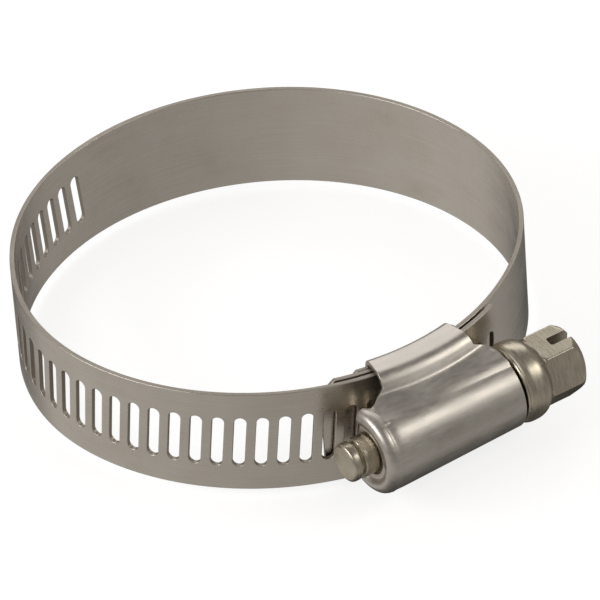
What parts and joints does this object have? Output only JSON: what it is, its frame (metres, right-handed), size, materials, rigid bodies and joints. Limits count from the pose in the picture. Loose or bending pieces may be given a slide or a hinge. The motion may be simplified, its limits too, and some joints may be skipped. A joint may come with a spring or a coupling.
{
  "type": "hose clamp",
  "caption": "Worm-drive hose clamp: a slotted steel band closed round a hose by a slotted hexagon-head screw in a pressed housing.",
  "frame": {"origin": "centre of the bounding box at its bottom, level with the lower lug", "axes": "+Z along the axis of the hose, +Y from the housing towards the far side of the ring, +X along the screw towards its head"},
  "size_m": [0.0572, 0.0648, 0.0143],
  "materials": {
    "band_stainless": "satin cold-rolled stainless strip",
    "housing_stainless": "smooth pressed stainless sheet",
    "screw_steel": "dull, slightly yellow plated steel"
  },
  "bodies": {
    "clamp_base": {"housing": "housing_stainless", "saddle": "housing_stainless", "band_fixed_end": "band_stainless"},
    "screw": {"worm_screw": "screw_steel"},
    "slotted_tail": {"band_slotted_tail": "band_stainless"},
    "slotted_link_1": {"band_slotted_link_1": "band_stainless"},
    "slotted_link_2": {"band_slotted_link_2": "band_stainless"},
    "slotted_link_3": {"band_slotted_link_3": "band_stainless"},
    "plain_link_1": {"band_plain_link_1": "band_stainless"},
    "plain_link_2": {"band_plain_link_2": "band_stainless"},
    "plain_link_3": {"band_plain_link_3": "band_stainless"},
    "plain_link_4": {"band_plain_link_4": "band_stainless"},
    "plain_link_5": {"band_plain_link_5": "band_stainless"},
    "plain_link_6": {"band_plain_link_6": "band_stainless"},
    "plain_link_7": {"band_plain_link_7": "band_stainless"}
  },
  "joints": [
    {"name": "band_travel", "type": "hinge", "parent": "clamp_base", "child": "slotted_tail", "pos_m": [0.00022, 0.00474, 0.00715], "axis": [0, 0, 1], "range_deg": [-7.18, 43.12]},
    {"name": "screw_turn", "type": "hinge", "parent": "clamp_base", "child": "screw", "pos_m": [0.00022, -0.02736, 0.00715], "axis": [-1, 0, 0], "range_deg": [-540, 3240]},
    {"name": "slotted_1_flex", "type": "hinge", "parent": "slotted_tail", "child": "slotted_link_1", "pos_m": [-0.0277, -0.00188, 0.00715], "axis": [0, 0, 1], "range_deg": [-13.55, 2.3]},
    {"name": "slotted_2_flex", "type": "hinge", "parent": "slotted_link_1", "child": "slotted_link_2", "pos_m": [-0.02692, 0.01231, 0.00715], "axis": [0, 0, 1], "range_deg": [-2.81, 0.51]},
    {"name": "slotted_3_flex", "type": "hinge", "parent": "slotted_link_2", "child": "slotted_link_3", "pos_m": [-0.01921, 0.02431, 0.00715], "axis": [0, 0, 1], "range_deg": [-1.34, 0.27]},
    {"name": "plain_1_flex", "type": "hinge", "parent": "slotted_link_3", "child": "plain_link_1", "pos_m": [-0.00675, 0.03121, 0.00715], "axis": [0, 0, 1], "range_deg": [-1.34, 0.27]},
    {"name": "plain_2_flex", "type": "hinge", "parent": "plain_link_1", "child": "plain_link_2", "pos_m": [0.00619, 0.03145, 0.00715], "axis": [0, 0, 1], "range_deg": [-2.68, 0.49]},
    {"name": "plain_3_flex", "type": "hinge", "parent": "plain_link_2", "child": "plain_link_3", "pos_m": [0.01786, 0.02588, 0.00715], "axis": [0, 0, 1], "range_deg": [-6.91, 1.19]},
    {"name": "plain_4_flex", "type": "hinge", "parent": "plain_link_3", "child": "plain_link_4", "pos_m": [0.02581, 0.01567, 0.00715], "axis": [0, 0, 1], "range_deg": [-6.6, 1.14]},
    {"name": "plain_5_flex", "type": "hinge", "parent": "plain_link_4", "child": "plain_link_5", "pos_m": [0.02835, 0.00299, 0.00715], "axis": [0, 0, 1], "range_deg": [-3.07, 0.55]},
    {"name": "plain_6_flex", "type": "hinge", "parent": "plain_link_5", "child": "plain_link_6", "pos_m": [0.02466, -0.00938, 0.00715], "axis": [0, 0, 1], "range_deg": [-1.43, 0.28]},
    {"name": "plain_7_flex", "type": "hinge", "parent": "plain_link_6", "child": "plain_link_7", "pos_m": [0.01555, -0.01855, 0.00715], "axis": [0, 0, 1], "range_deg": [-3.89, 0.69]}
  ],
  "couplings": [
    {"joint": "screw_turn", "follows": "band_travel", "ratio": 75.136},
    {"joint": "slotted_1_flex", "follows": "band_travel", "ratio": -0.313},
    {"joint": "slotted_2_flex", "follows": "band_travel", "ratio": -0.064},
    {"joint": "slotted_3_flex", "follows": "band_travel", "ratio": -0.03},
    {"joint": "plain_1_flex", "follows": "band_travel", "ratio": -0.03},
    {"joint": "plain_2_flex", "follows": "band_travel", "ratio": -0.061},
    {"joint": "plain_3_flex", "follows": "band_travel", "ratio": -0.159},
    {"joint": "plain_4_flex", "follows": "band_travel", "ratio": -0.152},
    {"joint": "plain_5_flex", "follows": "band_travel", "ratio": -0.07},
    {"joint": "plain_6_flex", "follows": "band_travel", "ratio": -0.032},
    {"joint": "plain_7_flex", "follows": "band_travel", "ratio": -0.089}
  ]
}
